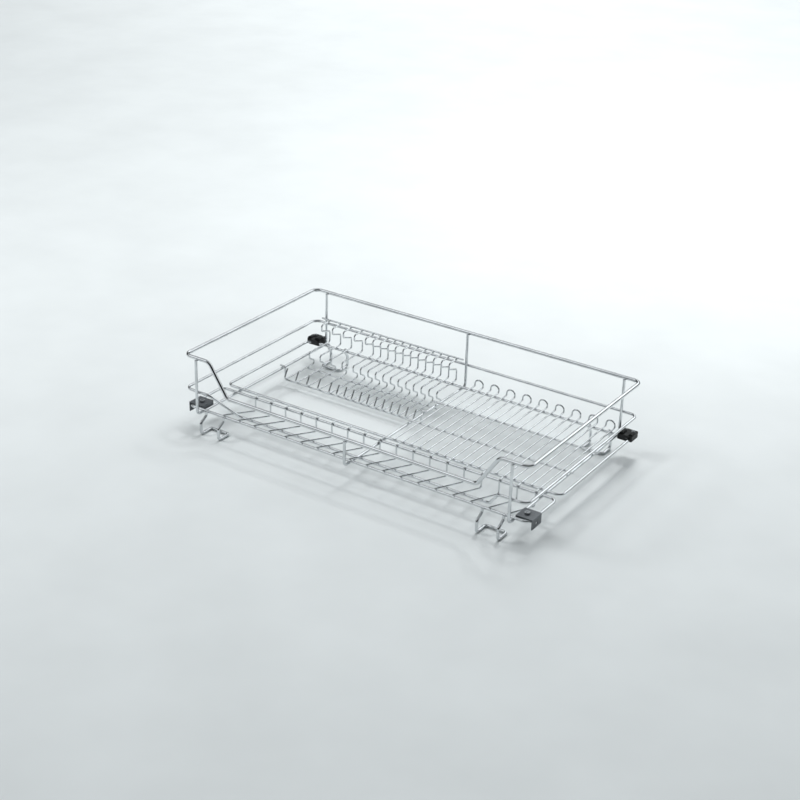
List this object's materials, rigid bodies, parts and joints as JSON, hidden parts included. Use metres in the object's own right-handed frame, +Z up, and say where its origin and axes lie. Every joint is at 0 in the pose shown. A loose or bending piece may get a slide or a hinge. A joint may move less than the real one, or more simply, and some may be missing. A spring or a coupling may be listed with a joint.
{
  "type": "pull-out dish drying rack",
  "caption": "Pull-out dish drying basket of chrome wire with a front trough, a lift-out plate rack and a lift-out cup rack",
  "frame": {"origin": "on the floor under the middle of the basket's bounding box", "axes": "+X along the width to the viewer's right, +Y from the open front to the back of the cabinet, +Z up"},
  "size_m": [0.834, 0.4794, 0.1711],
  "materials": {
    "chrome_wire": "polished chrome plating",
    "clip_plastic": "moulded satin black",
    "bracket_steel": "satin graphite coating",
    "fastener_steel": "zinc plated"
  },
  "bodies": {
    "basket": {"top_rail": "chrome_wire", "middle_rail": "chrome_wire", "rear_ring": "chrome_wire", "front_ring": "chrome_wire", "side_frames": "chrome_wire", "centre_frame": "chrome_wire", "trough_wires": "chrome_wire", "front_feet": "chrome_wire", "back_feet": "chrome_wire", "clip_bases": "clip_plastic", "clip_caps": "clip_plastic", "clip_screws": "fastener_steel", "front_brackets": "bracket_steel", "clamp_plates": "bracket_steel", "bracket_screws": "fastener_steel", "bracket_nuts": "fastener_steel"},
    "plate_rack": {"plate_top_rail": "chrome_wire", "plate_dividers": "chrome_wire", "plate_back_bearer": "chrome_wire", "plate_front_bearer": "chrome_wire"},
    "cup_rack": {"cup_wires": "chrome_wire", "cup_cross_front": "chrome_wire", "cup_cross_back": "chrome_wire"}
  },
  "joints": [
    {"name": "plate_rack_lift", "type": "slide", "parent": "basket", "child": "plate_rack", "axis": [0, 0, 1], "range_m": [0, 0.17]},
    {"name": "cup_rack_lift", "type": "slide", "parent": "basket", "child": "cup_rack", "axis": [0, 0, 1], "range_m": [0, 0.14]}
  ]
}
